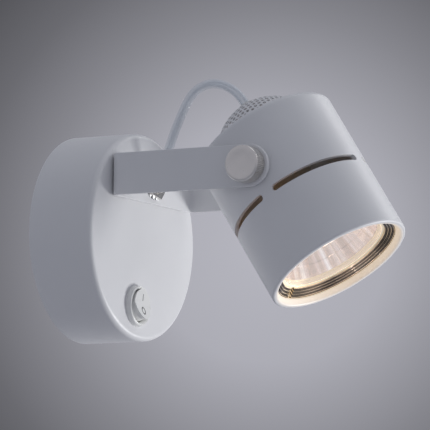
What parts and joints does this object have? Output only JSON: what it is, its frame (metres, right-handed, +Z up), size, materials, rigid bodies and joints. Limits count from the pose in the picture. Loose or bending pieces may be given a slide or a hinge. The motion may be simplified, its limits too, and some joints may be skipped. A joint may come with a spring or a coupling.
{
  "type": "pivoting spotlight wall light",
  "caption": "Round wall canopy with a rocker switch and a swivelling U bracket that holds a tilting cylindrical spotlight head between two knurled knobs, fed by a short clear cable.",
  "frame": {"origin": "centre of the wall plate's back, on the wall, which is also the centre of the canopy's back rim", "axes": "the wall is the XZ plane, the light stands out along -Y, +Z is up and +X is to the right as seen from the room"},
  "size_m": [0.09, 0.15, 0.1124],
  "materials": {
    "white_paint": "satin white enamel on steel",
    "white_plastic": "smooth white plastic",
    "zinc_steel": "zinc-plated steel",
    "nickel_steel": "nickel-plated steel",
    "knob_nickel": "bright nickel, knurled rim and smooth face",
    "brass": "plain turned or punched brass",
    "nylon_white": "moulded nylon",
    "nylon_clear": "natural nylon",
    "cable_clear": "clear sleeve over two pale leads",
    "ceramic": "unglazed white ceramic",
    "lamp_mirror": "faceted reflecting coat on pressed glass",
    "lamp_glass": "clear cover glass",
    "lamp_quartz": "clear capsule",
    "chrome": "bright chrome, sprung ring"
  },
  "bodies": {
    "base": {"wall_plate": "zinc_steel", "earth_screw": "brass", "terminal_block": "nylon_white", "terminal_tubes": "brass", "terminal_screws": "zinc_steel", "block_screw": "zinc_steel", "canopy_cover": "white_paint", "switch_body": "white_plastic", "switch_blades": "brass", "nipple": "nickel_steel", "back_nut": "zinc_steel", "slip_washer": "nylon_clear", "lock_washer": "zinc_steel", "front_nut": "nickel_steel"},
    "rocker": {"switch_rocker": "white_plastic"},
    "bracket": {"bracket": "white_paint", "arm_washers": "nylon_clear", "head_cable": "cable_clear"},
    "head": {"head_shell": "white_paint", "pivot_bosses": "brass", "rear_guard": "white_paint", "guard_screws": "zinc_steel", "cable_grommet": "nylon_clear", "holder_bridge": "zinc_steel", "bridge_screws": "zinc_steel", "lamp_holder": "ceramic", "holder_screws": "zinc_steel", "lamp_reflector": "lamp_mirror", "lamp_glass": "lamp_glass", "lamp_burner": "lamp_quartz", "lamp_base": "ceramic", "lamp_pins": "nickel_steel", "retaining_ring": "chrome"},
    "knob_left": {"knob_left": "knob_nickel"},
    "knob_right": {"knob_right": "knob_nickel"}
  },
  "joints": [
    {"name": "bracket_swivel", "type": "hinge", "parent": "base", "child": "bracket", "pos_m": [0, -0.03094, 0.0244], "axis": [0, -1, 0], "range_deg": [-100.5, 79.5]},
    {"name": "head_tilt", "type": "hinge", "parent": "bracket", "child": "head", "pos_m": [0, -0.0981, 0.0244], "axis": [0.9833, 0, 0.1822], "range_deg": [-60, 40], "deforming": ["head_cable"]},
    {"name": "switch_rock", "type": "hinge", "parent": "base", "child": "rocker", "pos_m": [0, -0.0299, -0.0309], "axis": [1, 0, 0], "range_deg": [0, 20]},
    {"name": "knob_left_turn", "type": "hinge", "parent": "head", "child": "knob_left", "pos_m": [-0.03392, -0.0981, 0.01811], "axis": [-0.9833, 0, -0.1822], "range_deg": [0, 360]},
    {"name": "knob_right_turn", "type": "hinge", "parent": "head", "child": "knob_right", "pos_m": [0.03392, -0.0981, 0.03069], "axis": [0.9833, 0, 0.1822], "range_deg": [0, 360]}
  ]
}
